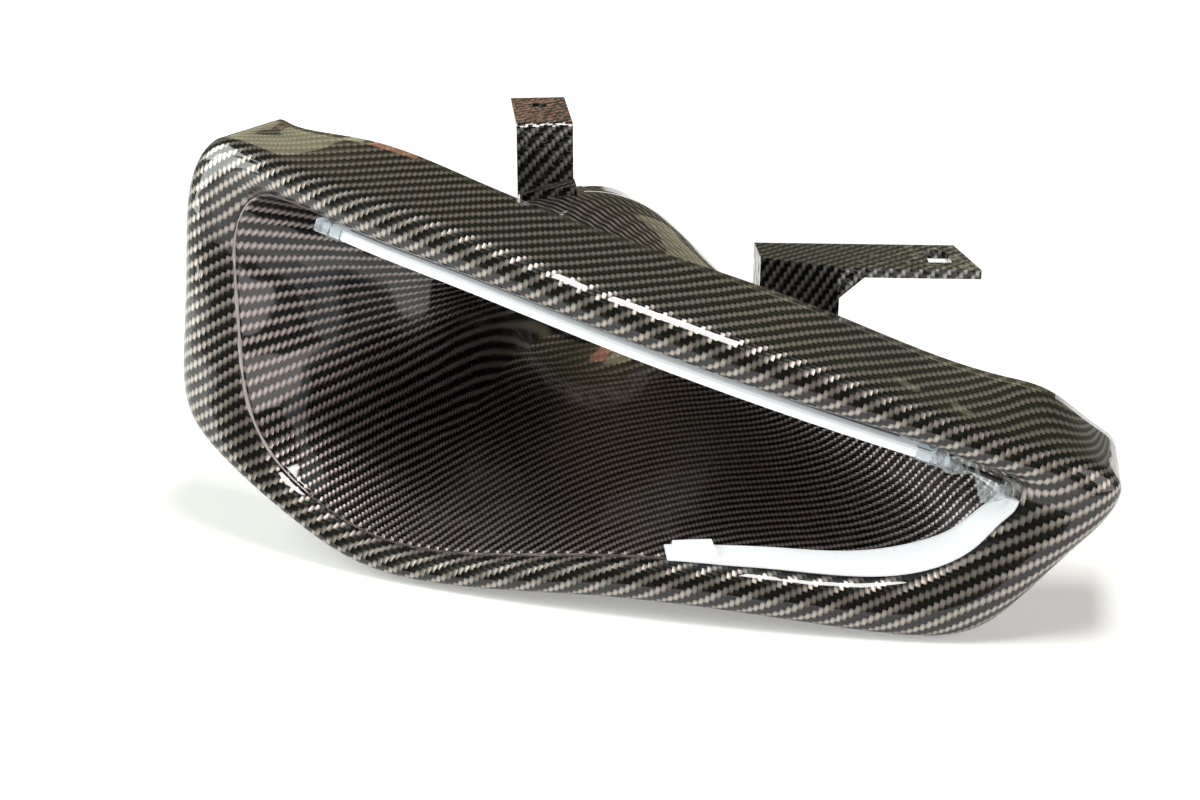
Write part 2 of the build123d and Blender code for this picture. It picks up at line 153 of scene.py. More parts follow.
bezel_shares = edge_shares(BEZEL_EDGE)
mouth_shares = edge_shares(MOUTH_EDGE)
bezel_normals = edge_normals(BEZEL_EDGE)
mouth_normals = edge_normals(MOUTH_EDGE)
edge_turns = 2 * np.pi * mouth_shares[:-1]
column_places = np.arange(COLUMNS) / COLUMNS


def bow_height(across, depth):
    """How far the bowed face, moved back by depth, stands out of its flat plane."""
    return np.sqrt((FACE_BOW - depth) ** 2 - across ** 2) - FACE_BOW


def on_face(across, up, height):
    """Places on the face, turned into the part's frame."""
    ways = np.outer(across, face_across) + np.outer(up, face_up) + np.outer(height, face_out)
    return FACE_MIDDLE + ways


def oval_ring(turns, middle, half_width, half_height, back):
    """An upright oval of points, the length back in front of the spigot's open end."""
    across = middle[0] + half_width * np.cos(turns)
    up = middle[1] + half_height * np.sin(turns)
    return np.stack([across, np.full(len(turns), -back), up], axis=1)


def throat_ring(grow):
    half_width, half_height = THROAT_HALF
    return oval_ring(edge_turns, THROAT_MIDDLE, half_width + grow, half_height + grow, THROAT_BACK)


def wall_tapers(edge, grow):
    """How far the wall moves across and up the face for each millimetre it goes back."""
    offsets = throat_ring(grow) - FACE_MIDDLE
    run = bow_height(edge[:, 0], 0) - offsets @ face_out
    moves = np.stack([offsets @ face_across - edge[:, 0], offsets @ face_up - edge[:, 1]], axis=1)
    return moves / run[:, None]


hood_ways = np.zeros((EDGE_POINTS, 2))
for point in range(EDGE_POINTS):
    hood_ways[point, 0] = SIDE_TUCK if point in TUCKED_POINTS else 0.0
    hood_ways[point, 1] = HOOD_RISE if point in HOOD_POINTS else BASE_RISE


def rim_loop(outer, mouth, share, depth):
    """One loop of the moulding's section: its points, and where they lie on the flat cloth."""
    ways = hood_ways * (1 - share) + wall_tapers(mouth, 0) * share
    flat = outer + (mouth - outer) * share
    place = flat + depth * ways
    points = on_face(place[:, 0], place[:, 1], bow_height(place[:, 0], depth))
    normals = bezel_normals * (1 - share) + mouth_normals * share
    cloth = flat + normals * depth * (1 - 2 * share)
    shares = bezel_shares * (1 - share) + mouth_shares * share
    return smooth_loop(points, shares, column_places), smooth_loop(cloth, shares, column_places)


def roll_loops(outer, mouth, inset, steps):
    """Loops over the rolled rim, from the hood's side to the mouth's side."""
    loops = []
    for step in range(steps + 1):
        turn = math.pi * step / steps
        reach = abs(math.cos(turn)) ** ROLL_FULLNESS
        share = 0.5 - 0.5 * reach if turn < math.pi / 2 else 0.5 + 0.5 * reach
        roll = RIM_ROLL + (MOUTH_ROLL - RIM_ROLL) * share
        drop = 1 - abs(math.sin(turn)) ** ROLL_FULLNESS
        loops.append(rim_loop(outer, mouth, share, inset + roll * drop))
    return loops


def new_piece(name, points, faces, smooth):
    """A mesh object in the scene, from points in millimetres."""
    mesh = bpy.data.meshes.new(name)
    mesh.from_pydata((np.array(points) * MILLIMETRE).tolist(), [], faces)
    mesh.polygons.foreach_set("use_smooth", [smooth] * len(faces))
    mesh.update()
    piece = bpy.data.objects.new(name, mesh)
    bpy.context.scene.collection.objects.link(piece)
    return piece


def laminate_mesh(name, rows, cloth):
    """A closed ring of quads; its UV map is the flat cloth, which has one column more."""
    row_count, column_count = rows.shape[:2]
    faces = []
    corners = []
    for row in range(row_count):
        below = (row + 1) % row_count
        for column in range(column_count):
            beside = (column + 1) % column_count
            faces.append((
                row * column_count + column,
                below * column_count + column,
                below * column_count + beside,
                row * column_count + beside,
            ))
            corners.append(cloth[row, column])
            corners.append(cloth[below, column])
            corners.append(cloth[below, column + 1])
            corners.append(cloth[row, column + 1])
    piece = new_piece(name, rows.reshape(-1, 3), faces, True)
    layer = piece.data.uv_layers.new(name="cloth")
    layer.data.foreach_set("uv", (np.array(corners) * MILLIMETRE).ravel())
    return piece


lip_front = MOUTH_EDGE + mouth_normals * (FUNNEL_WALL - LIP_COVER)
lip_back = MOUTH_EDGE + mouth_normals * (FUNNEL_WALL + LIP_WALL)
hood_outside = BEZEL_EDGE - bezel_normals * SKIN_INSET
hood_inside = BEZEL_EDGE - bezel_normals * BEZEL_WALL
section = []
for depth in np.linspace(BEZEL_DEPTH - SKIN_INSET, RIM_ROLL + HOOD_FRONT_GAP, HOOD_LOOPS):
    section.append(rim_loop(hood_outside, lip_front, 0, depth))
section += roll_loops(hood_outside, lip_front, SKIN_INSET, ROLL_STEPS)
section.append(rim_loop(hood_outside, lip_front, 1, LIP_FRONT))
section.append(rim_loop(hood_outside, lip_back, 1, LIP_END))
section += reversed(roll_loops(hood_inside, lip_back, BEZEL_WALL, INSIDE_ROLL_STEPS))
section.append(rim_loop(hood_inside, lip_back, 0, BEZEL_DEPTH - HOOD_BACK_GAP))
bezel_rows = np.array([loop[0] for loop in section])
bezel_cloth = np.array([loop[1] for loop in section]) @ np.array([
    [math.cos(CLOTH_TURN), math.sin(CLOTH_TURN)],
    [-math.sin(CLOTH_TURN), math.cos(CLOTH_TURN)],
])
bezel_cloth = np.concatenate([bezel_cloth, bezel_cloth[:, :1]], axis=1)
bezel = laminate_mesh("bezel_laminate", bezel_rows, bezel_cloth)

TWILL_REPEAT = 4
TOWS_OVER = 2
WARP_START = 1
WEFT_START = 2
WANDER_SCALE = 45
WANDER_REACH = 0.0016
SIDE_FALL = 0.35
CROWN_LIFT = 0.7
SIDE_LIFT = 0.3
twill = bpy.data.node_groups.new("carbon_twill", "ShaderNodeTree")
twill.interface.new_socket("Cloth", in_out="INPUT", socket_type="NodeSocketVector")
twill.interface.new_socket("Tow Width", in_out="INPUT", socket_type="NodeSocketFloat")
for weave_value in ("Warp", "Crown Shade", "Height"):
    twill.interface.new_socket(weave_value, in_out="OUTPUT", socket_type="NodeSocketFloat")


def twill_math(operation, first, second=None):
    """A Math node in the twill group; first and second are sockets or plain numbers."""
    node = twill.nodes.new("ShaderNodeMath")
    node.operation = operation
    for socket, value in zip(node.inputs, (first, second)):
        if value is None:
            continue
        if isinstance(value, (int, float)):
            socket.default_value = value
        else:
            twill.links.new(value, socket)
    return node.outputs[0]


weave_in = twill.nodes.new("NodeGroupInput")
weave_out = twill.nodes.new("NodeGroupOutput")
weave_wander = twill.nodes.new("ShaderNodeTexNoise")
weave_wander.inputs["Scale"].default_value = WANDER_SCALE
weave_wander.inputs["Detail"].default_value = 1
twill.links.new(weave_in.outputs["Cloth"], weave_wander.inputs["Vector"])
weave_offset = twill.nodes.new("ShaderNodeVectorMath")
weave_offset.operation = "MULTIPLY_ADD"
weave_offset.inputs[1].default_value = (WANDER_REACH, WANDER_REACH, 0)
twill.links.new(weave_wander.outputs["Color"], weave_offset.inputs[0])
twill.links.new(weave_in.outputs["Cloth"], weave_offset.inputs[2])
weave_axes = twill.nodes.new("ShaderNodeSeparateXYZ")
twill.links.new(weave_offset.outputs[0], weave_axes.inputs[0])
tow_x = twill_math("DIVIDE", weave_axes.outputs[0], weave_in.outputs["Tow Width"])
tow_y = twill_math("DIVIDE", weave_axes.outputs[1], weave_in.outputs["Tow Width"])
warp_run = twill_math("SUBTRACT", tow_y, twill_math("FLOOR", tow_x))
weft_run = twill_math("SUBTRACT", tow_x, twill_math("FLOOR", tow_y))
warp_place = twill_math("ADD", warp_run, WARP_START)
weft_place = twill_math("SUBTRACT", weft_run, WEFT_START)
warp_phase = twill_math("FLOORED_MODULO", warp_place, TWILL_REPEAT)
weft_phase = twill_math("FLOORED_MODULO", weft_place, TWILL_REPEAT)
warp_up = twill_math("LESS_THAN", warp_phase, TOWS_OVER)


def rounded_crown(phase, length):
    """1 in the middle of a run of the given length and 0 at its ends."""
    share = twill_math("DIVIDE", phase, length)
    swing = twill_math("SUBTRACT", twill_math("MULTIPLY", share, 2), 1)
    return twill_math("SUBTRACT", 1, twill_math("MULTIPLY", swing, swing))


def of_upper_tow(warp_value, weft_value):
    """The warp's value where the warp lies on top, and the weft's elsewhere."""
    change = twill_math("SUBTRACT", warp_value, weft_value)
    return twill_math("ADD", weft_value, twill_math("MULTIPLY", change, warp_up))


tow_crown = of_upper_tow(rounded_crown(warp_phase, TOWS_OVER), rounded_crown(weft_phase, TOWS_OVER))
warp_side = rounded_crown(twill_math("FRACT", tow_x), 1)
weft_side = rounded_crown(twill_math("FRACT", tow_y), 1)
tow_side = of_upper_tow(warp_side, weft_side)
# Painted shade: 1 on each tow's crown, falling towards its ends and sides; it darkens the tow
# colour.
painted_tow_shade = twill_math("MULTIPLY", tow_crown, twill_math("POWER", tow_side, SIDE_FALL))
crown_lift = twill_math("MULTIPLY", tow_crown, CROWN_LIFT)
side_lift = twill_math("MULTIPLY", tow_side, SIDE_LIFT)
twill.links.new(warp_up, weave_out.inputs["Warp"])
twill.links.new(painted_tow_shade, weave_out.inputs["Crown Shade"])
twill.links.new(twill_math("ADD", crown_lift, side_lift), weave_out.inputs["Height"])


def new_finish(name):
    material = bpy.data.materials.new(name)
    material.use_nodes = True
    return material, material.node_tree, material.node_tree.nodes["Principled BSDF"]


def carbon_finish(name, warp_sheen_colour, weft_colour, tow_width, coat_roughness, coat_waves, cloth):
    """Carbon under a wavy clear coat: warp tows coloured light as a painted sheen over dark weft
    tows, each tow rounded and darkened with painted shade towards its ends and sides.

    coat_waves is the waves' size and depth in metres; cloth gives the socket of the flat cloth.
    """
    material, tree, shader = new_finish(name)
    weave = tree.nodes.new("ShaderNodeGroup")
    weave.node_tree = twill
    weave.inputs["Tow Width"].default_value = tow_width
    tree.links.new(cloth(tree), weave.inputs["Cloth"])
    # Painted sheen: warp and weft are the same black fibre, but the warp is coloured light as if it
    # caught the light.
    tow_colour_and_sheen = tree.nodes.new("ShaderNodeMix")
    tow_colour_and_sheen.data_type = "RGBA"
    tow_colour_and_sheen.inputs["A"].default_value = (*weft_colour, 1)
    tow_colour_and_sheen.inputs["B"].default_value = (*warp_sheen_colour, 1)
    tree.links.new(weave.outputs["Warp"], tow_colour_and_sheen.inputs["Factor"])
    # Painted shade: the tow colour is darkened to 0.12 at each tow's ends and sides, where its
    # rounding turns from the light.
    painted_crown_shade = tree.nodes.new("ShaderNodeMapRange")
    painted_crown_shade.inputs["To Min"].default_value = 0.12
    painted_crown_shade.inputs["To Max"].default_value = 1.0
    tree.links.new(weave.outputs["Crown Shade"], painted_crown_shade.inputs["Value"])
    sheen_and_shade_colour = tree.nodes.new("ShaderNodeMix")
    sheen_and_shade_colour.data_type = "RGBA"
    sheen_and_shade_colour.blend_type = "MULTIPLY"
    sheen_and_shade_colour.inputs["Factor"].default_value = 1
    tree.links.new(tow_colour_and_sheen.outputs["Result"], sheen_and_shade_colour.inputs["A"])
    tree.links.new(painted_crown_shade.outputs["Result"], sheen_and_shade_colour.inputs["B"])
    tree.links.new(sheen_and_shade_colour.outputs["Result"], shader.inputs["Base Color"])
    tow_bump = tree.nodes.new("ShaderNodeBump")
    tow_bump.inputs["Strength"].default_value = 0.8
    tow_bump.inputs["Distance"].default_value = 0.00035
    tree.links.new(weave.outputs["Height"], tow_bump.inputs["Height"])
    tree.links.new(tow_bump.outputs["Normal"], shader.inputs["Normal"])
    shader.inputs["Metallic"].default_value = 0.85
    shader.inputs["Roughness"].default_value = 0.38
    shader.inputs["Coat Weight"].default_value = 1.0
    shader.inputs["Coat Roughness"].default_value = coat_roughness
    shader.inputs["Coat IOR"].default_value = 1.5
    wave_size, wave_depth = coat_waves
    waves = tree.nodes.new("ShaderNodeTexNoise")
    waves.inputs["Scale"].default_value = 1 / wave_size
    waves.inputs["Detail"].default_value = 1
    place = tree.nodes.new("ShaderNodeTexCoord")
    tree.links.new(place.outputs["Object"], waves.inputs["Vector"])
    coat_bump = tree.nodes.new("ShaderNodeBump")
    coat_bump.inputs["Strength"].default_value = 1
    coat_bump.inputs["Distance"].default_value = wave_depth
    tree.links.new(waves.outputs[0], coat_bump.inputs["Height"])
    tree.links.new(coat_bump.outputs["Normal"], shader.inputs["Coat Normal"])
    return material


def laminate_cloth(tree):
    """The flat cloth of a laminate, from its UV map."""
    node = tree.nodes.new("ShaderNodeUVMap")
    node.uv_map = "cloth"
    return node.outputs["UV"]


bezel_finish = carbon_finish(
    "bezel_carbon",
    warp_sheen_colour=(0.44, 0.39, 0.35),
    weft_colour=(0.016, 0.016, 0.014),
    tow_width=0.002,
    coat_roughness=0.03,
    coat_waves=(0.03, 0.0016),
    cloth=laminate_cloth,
)
bezel.data.materials.append(bezel_finish)
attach(bezel, "root")
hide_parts("front_bezel")

# Intake funnel: the inner moulding, from a raw front edge inside the lip to the round hose spigot.
# The same twill cloth laid round a plug, glossy inside, with a small step where the spigot starts.
# Its front edge is bonded into the lip of the bezel.
SPIGOT_RADIUS = 38.0
SPIGOT_LENGTH = 35.0
SPIGOT_ROWS = 4
SPIGOT_GAP = 0.3
HOSE_STOP = 0.8
FUNNEL_SETBACK = 8.0
FRONT_ROWS = 30
TAIL_ROWS = 40
TAIL_SHARE = 0.5
TAIL_KNOTS = (0.35, TAIL_SHARE, 0.7)
EDGE_HALVINGS = 20
FAN_TURNS = ((0, 0.0003), (12, 0.0003), (14, 0.0047), (18, 0.005), (EDGE_POINTS, 0.003))
FAN_STRETCH = ((0, 1.4), (9, 1.0), (13, 1.0), (16, 1.6), (EDGE_POINTS, 1.6))
FAN_LEVEL_POINT = 13
FAN_DEPTH = 150.0
FAN_DEEP_SHARE = 0.5


def smooth_run(points, places, wanted):
    """The smooth open curve through points at places, read at the wanted places."""
    count = len(points)
    gaps = np.diff(places)
    slopes = np.diff(points, axis=0) / gaps[:, None, None]
    system = np.eye(count)
    right = np.zeros_like(points)
    for index in range(1, count - 1):
        system[index, index - 1] = gaps[index - 1] / 6
        system[index, index] = (gaps[index - 1] + gaps[index]) / 3
        system[index, index + 1] = gaps[index] / 6
        right[index] = slopes[index] - slopes[index - 1]
    bends = np.linalg.solve(system, right.reshape(count, -1)).reshape(points.shape)
    rows = []
    for place in wanted:
        span = min(max(int(np.searchsorted(places, place, side="right")) - 1, 0), count - 2)
        rows.append(on_span(
            points[span], points[span + 1], bends[span], bends[span + 1],
            gaps[span], place - places[span],
        ))
    return np.array(rows)


def funnel_rows(grow):
    """Rows of the funnel's wall, from the front edge to the spigot, moved outward by grow."""
    edge = MOUTH_EDGE + mouth_normals * (FUNNEL_WALL + grow)
    mouth = on_face(edge[:, 0], edge[:, 1], bow_height(edge[:, 0], 0))
    radius = SPIGOT_RADIUS + HOSE_STOP + grow
    collar = oval_ring(edge_turns, (0, 0), radius, radius, SPIGOT_LENGTH)
    mouth_loop = smooth_loop(mouth, mouth_shares, column_places)
    throat_loop = smooth_loop(throat_ring(grow), mouth_shares, column_places)
    collar_loop = smooth_loop(collar, mouth_shares, column_places)
    run = throat_loop - mouth_loop
    low = np.zeros(COLUMNS)
    high = np.full(COLUMNS, TAIL_SHARE)
    for halving in range(EDGE_HALVINGS):
        middle = (low + high) / 2
        offsets = mouth_loop + run * middle[:, None] - FACE_MIDDLE
        depth = FACE_BOW - np.hypot(offsets @ face_across, offsets @ face_out + FACE_BOW)
        low = np.where(depth < FUNNEL_SETBACK, middle, low)
        high = np.where(depth < FUNNEL_SETBACK, high, middle)
    front = []
    for step in np.linspace(0, 1, FRONT_ROWS, endpoint=False):
        share = high + (TAIL_SHARE - high) * step
        front.append(mouth_loop + run * share[:, None])
    knots = [mouth_loop + run * share for share in TAIL_KNOTS]
    knots += [throat_loop, collar_loop]
    lengths = [0.0]
    for before, after in zip(knots, knots[1:]):
        lengths.append(lengths[-1] + np.linalg.norm(after - before, axis=1).mean())
    tail_places = np.linspace(lengths[1], lengths[-1], TAIL_ROWS)
    tail = smooth_run(np.array(knots), np.array(lengths), tail_places)
    return np.concatenate([np.array(front), tail])


def spigot_rows(radius):
    turns = 2 * np.pi * column_places
    backs = np.linspace(SPIGOT_LENGTH - SPIGOT_GAP, SKIN_INSET, SPIGOT_ROWS)
    return np.array([oval_ring(turns, (0, 0), radius, radius, back) for back in backs])


def closed_lengths(row):
    """Lengths round a closed row from its first column, with the whole length at the end."""
    steps = np.linalg.norm(np.roll(row, -1, axis=0) - row, axis=1)
    return np.concatenate([[0.0], np.cumsum(steps)])


def run_lengths(rows):
    """Lengths along the duct from the first row, with the first column again at the end."""
    steps = np.linalg.norm(np.diff(rows, axis=0), axis=2)
    lengths = np.concatenate([np.zeros((1, COLUMNS)), np.cumsum(steps, axis=0)])
    return np.concatenate([lengths, lengths[:, :1]], axis=1)


def round_mouth(values, shares):
    """Values that are stated at points of the mouth's edge, read at the shares of its length."""
    places = [mouth_shares[point] for point, value in values]
    return np.interp(shares, places, [value for point, value in values])


def fanned_cloth(rows):
    """The inside sheet, flattened like a cone: its twill lines turn slowly round the mouth."""
    shares = np.arange(COLUMNS + 1) / COLUMNS
    turn_rate = round_mouth(FAN_TURNS, shares)
    stretch = round_mouth(FAN_STRETCH, shares)
    steps = np.diff(closed_lengths(rows[0]))
    turns = np.concatenate([[0.0], np.cumsum(steps * turn_rate[1:])])
    turns = turns - np.interp(mouth_shares[FAN_LEVEL_POINT], shares, turns)
    middle_turns = (turns[1:] + turns[:-1]) / 2
    pulled = steps * stretch[1:]
    over = np.concatenate([[0.0], np.cumsum(pulled * np.cos(middle_turns))])
    along = np.concatenate([[0.0], np.cumsum(pulled * np.sin(middle_turns))])
    deep = run_lengths(rows)
    past = np.maximum(deep - FAN_DEPTH, 0)
    deep = (np.minimum(deep, FAN_DEPTH) + FAN_DEEP_SHARE * past) * stretch
    over = over - deep * np.sin(turns)
    along = along + deep * np.cos(turns)
    return np.stack([along + over, along - over], axis=2) / math.sqrt(2)


def wrapped_cloth(rows):
    """A sheet wrapped round and along the duct."""
    around = np.array([closed_lengths(row) for row in rows])
    return np.stack([around, run_lengths(rows)], axis=2)


inner_rows = np.concatenate([
    funnel_rows(-FUNNEL_WALL), spigot_rows(SPIGOT_RADIUS - FUNNEL_WALL)
])
outer_rows = np.concatenate([funnel_rows(0), spigot_rows(SPIGOT_RADIUS)])
duct_cloth = np.concatenate([
    fanned_cloth(inner_rows[:-SPIGOT_ROWS]),
    wrapped_cloth(inner_rows[-SPIGOT_ROWS:]),
    wrapped_cloth(outer_rows)[::-1],
])
duct_rows = np.concatenate([inner_rows, outer_rows[::-1]])
funnel = laminate_mesh("funnel_laminate", duct_rows, duct_cloth)
funnel_finish = carbon_finish(
    "funnel_carbon",
    warp_sheen_colour=(0.5, 0.42, 0.4),
    weft_colour=(0.008, 0.008, 0.008),
    tow_width=0.0022,
    coat_roughness=0.05,
    coat_waves=(0.03, 0.001),
    cloth=laminate_cloth,
)
funnel.data.materials.append(funnel_finish)
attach(funnel, "root")
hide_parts("intake_funnel")

# Resin bead: the fillet that was wiped along the joint of lip and funnel, on the left of the mouth.
# Clear epoxy, thick in the middle of its run and thinning out at both ends, coloured pale pinkish
# white as a painted highlight along the joint.
BEAD_RADIUS = 0.75
BEAD_THINNEST = 0.08
BEAD_TAPER = 0.6
BEAD_LUMPS = ((41, 0.25), (97, 0.15))
BEAD_SIDES = 10
BEAD_FIRST_POINT = 9
BEAD_LAST_POINT = 15
BEAD_WALL_ROW = 4
bead_columns = np.arange(
    int(mouth_shares[BEAD_FIRST_POINT] * COLUMNS), int(mouth_shares[BEAD_LAST_POINT] * COLUMNS)
)
bead_line = inner_rows[0][bead_columns]
bead_back = inner_rows[BEAD_WALL_ROW][bead_columns] - bead_line
bead_back = bead_back / np.linalg.norm(bead_back, axis=1)[:, None]
bead_along = np.gradient(bead_line, axis=0)
bead_along = bead_along / np.linalg.norm(bead_along, axis=1)[:, None]
bead_in = np.cross(bead_along, bead_back)
bead_share = np.linspace(0, 1, len(bead_columns))
bead_lumps = 1 + sum(height * np.sin(rate * bead_share) for rate, height in BEAD_LUMPS)
bead_swell = np.sin(np.pi * bead_share) ** BEAD_TAPER * bead_lumps
bead_radii = BEAD_THINNEST + BEAD_RADIUS * bead_swell
bead_rings = []
for side in range(BEAD_SIDES):
    turn = 2 * math.pi * side / BEAD_SIDES
    ring_way = math.cos(turn) * bead_back + math.sin(turn) * bead_in
    bead_rings.append(bead_line + ring_way * bead_radii[:, None])
bead_points = np.array(bead_rings).transpose(1, 0, 2).reshape(-1, 3)
bead_faces = []
for step in range(len(bead_columns) - 1):
    for side in range(BEAD_SIDES):
        beside = (side + 1) % BEAD_SIDES
        bead_faces.append((
            step * BEAD_SIDES + side,
            step * BEAD_SIDES + beside,
            (step + 1) * BEAD_SIDES + beside,
            (step + 1) * BEAD_SIDES + side,
        ))
last_ring = (len(bead_columns) - 1) * BEAD_SIDES
bead_faces.append(tuple(range(BEAD_SIDES - 1, -1, -1)))
bead_faces.append(tuple(range(last_ring, last_ring + BEAD_SIDES)))
bead = new_piece("resin_bead", bead_points, bead_faces, True)

mottle = bpy.data.node_groups.new("mottle", "ShaderNodeTree")
mottle.interface.new_socket("Scale", in_out="INPUT", socket_type="NodeSocketFloat")
mottle.interface.new_socket("Dark", in_out="INPUT", socket_type="NodeSocketColor")
mottle.interface.new_socket("Light", in_out="INPUT", socket_type="NodeSocketColor")
mottle.interface.new_socket("Colour", in_out="OUTPUT", socket_type="NodeSocketColor")
mottle.interface.new_socket("Cloud", in_out="OUTPUT", socket_type="NodeSocketFloat")
mottle_in = mottle.nodes.new("NodeGroupInput")
mottle_out = mottle.nodes.new("NodeGroupOutput")
mottle_cloud = mottle.nodes.new("ShaderNodeTexNoise")
mottle_tone = mottle.nodes.new("ShaderNodeMix")
mottle_tone.data_type = "RGBA"
mottle.links.new(mottle_in.outputs["Scale"], mottle_cloud.inputs["Scale"])
mottle.links.new(mottle_cloud.outputs[0], mottle_tone.inputs["Factor"])
mottle.links.new(mottle_in.outputs["Dark"], mottle_tone.inputs["A"])
mottle.links.new(mottle_in.outputs["Light"], mottle_tone.inputs["B"])
mottle.links.new(mottle_tone.outputs["Result"], mottle_out.inputs["Colour"])
mottle.links.new(mottle_cloud.outputs[0], mottle_out.inputs["Cloud"])


def mottled_finish(name, scale, dark, light, settings):
    """A finish whose colour drifts between two tones; settings are for the shader's own sockets."""
    material, tree, shader = new_finish(name)
    cloud = tree.nodes.new("ShaderNodeGroup")
    cloud.node_tree = mottle
    cloud.name = "mottle"
    cloud.inputs["Scale"].default_value = scale
    cloud.inputs["Dark"].default_value = (*dark, 1)
    cloud.inputs["Light"].default_value = (*light, 1)
    tree.links.new(cloud.outputs["Colour"], shader.inputs["Base Color"])
    for socket, value in settings.items():
        shader.inputs[socket].default_value = value
    return material


# Painted highlight: the bead's pale pinkish colour stands for the highlight along the joint of lip
# and funnel.
resin_highlight_finish = mottled_finish(
    "wiped_resin_highlight",
    scale=420,
    dark=(0.3, 0.25, 0.24),
    light=(0.75, 0.68, 0.66),
    settings={"Roughness": 0.15, "Coat Weight": 1.0},
)
bead.data.materials.append(resin_highlight_finish)
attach(bead, "root")

# Brackets: a strap on top of the funnel and a tabbed post at its shoulder.
# Hand-laid carbon offcuts, brushed with resin and left rough, trimmed and cut with square holes.
# Each foot lies on a bed of epoxy on the funnel.
FOLD_LEANS = (("X", "X", -0.6), ("Y", "Z", 0.8))


def offcut_cloth(tree):
    """Cloth that folds over the brackets' bends: each way of it leans with the way back."""
    place = tree.nodes.new("ShaderNodeTexCoord")
    axes = tree.nodes.new("ShaderNodeSeparateXYZ")
    tree.links.new(place.outputs["Object"], axes.inputs[0])
    joined = tree.nodes.new("ShaderNodeCombineXYZ")
    for cloth_axis, axis, lean_share in FOLD_LEANS:
        lean = tree.nodes.new("ShaderNodeMath")
        lean.operation = "MULTIPLY_ADD"
        lean.inputs[1].default_value = lean_share
        tree.links.new(axes.outputs["Y"], lean.inputs[0])
        tree.links.new(axes.outputs[axis], lean.inputs[2])
        tree.links.new(lean.outputs[0], joined.inputs[cloth_axis])
    return joined.outputs[0]


def dress(node_names, finish):
    """Give the CAD solids this finish in place of their own."""
    for node_name in node_names:
        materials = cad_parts[node_name].data.materials
        materials.clear()
        materials.append(finish)


bracket_finish = carbon_finish(
    "bracket_carbon",
    warp_sheen_colour=(0.42, 0.39, 0.38),
    weft_colour=(0.012, 0.012, 0.013),
    tow_width=0.0019,
    coat_roughness=0.07,
    coat_waves=(0.005, 0.0014),
    cloth=offcut_cloth,
)
dress(("top_bracket", "side_bracket"), bracket_finish)

# Epoxy beds: dark adhesive under the brackets' feet, squeezed out round them.
# Two-part epoxy, pressed out by the foot and left to cure glossy.
epoxy_finish = mottled_finish(
    "bracket_epoxy",
    scale=160,
    dark=(0.02, 0.019, 0.017),
    light=(0.16, 0.15, 0.12),
    settings={"Roughness": 0.16},
)
dress(("top_bracket_adhesive", "side_bracket_adhesive"), epoxy_finish)

# Light strips: two flexible opal light guides that follow the mouth, under the top lip and on the
# floor, and the opal cap on the lower one's left end.
# Extruded white silicone, unlit, held to the funnel by foam tape; the finish gives them a faint
# painted glow.
opal_glow_finish = mottled_finish(
    "opal_silicone",
    scale=60,
    dark=(0.8, 0.83, 0.86),
    light=(0.9, 0.92, 0.94),
    settings={
        "Roughness": 0.32,
        # Painted glow: a faint bluish emission makes the unlit strips and cap read bright white.
        "Emission Color": (0.86, 0.93, 1.0, 1),
        "Emission Strength": 0.28,
        "Subsurface Weight": 0.35,
        "Subsurface Radius": (0.003, 0.003, 0.003),
        "Subsurface Scale": 1.0,
    },
)
dress(("upper_light_strip", "lower_light_strip", "lower_strip_cap"), opal_glow_finish)

# Strip caps and corner glue: the caps on the upper strip's ends, and the lump in the right corner.
# Moulded silicone and poured hot-melt, both clear and slightly milky.
# The caps are pushed onto the strip; the glue holds the strips' ends and their lead.
clear_finish = mottled_finish(
    "clear_silicone",
    scale=220,
    dark=(0.84, 0.9, 0.93),
    light=(0.97, 0.98, 0.99),
    settings={"Roughness": 0.08, "Transmission Weight": 0.9, "IOR": 1.41},
)
dress(("upper_strip_cap_left", "upper_strip_cap_right", "corner_glue"), clear_finish)

# Bonding tapes: the thin grey layer between the strips and the funnel's wall.
# Double-sided foam tape, cut to the strips' width and pressed on.
tape_finish = mottled_finish(
    "foam_tape",
    scale=900,
    dark=(0.1, 0.1, 0.1),
    light=(0.22, 0.22, 0.22),
    settings={"Roughness": 0.8},
)
dress(("upper_strip_tape", "lower_strip_tape"), tape_finish)

# Strip lead: the short black lead that joins the two strips in the right corner of the mouth.
# Two cores in one soft plastic sheath, bent into place and held by the glue.
lead_finish = mottled_finish(
    "lead_sheath",
    scale=500,
    dark=(0.008, 0.008, 0.009),
    light=(0.04, 0.04, 0.042),
    settings={"Roughness": 0.3},
)
dress(("strip_lead",), lead_finish)

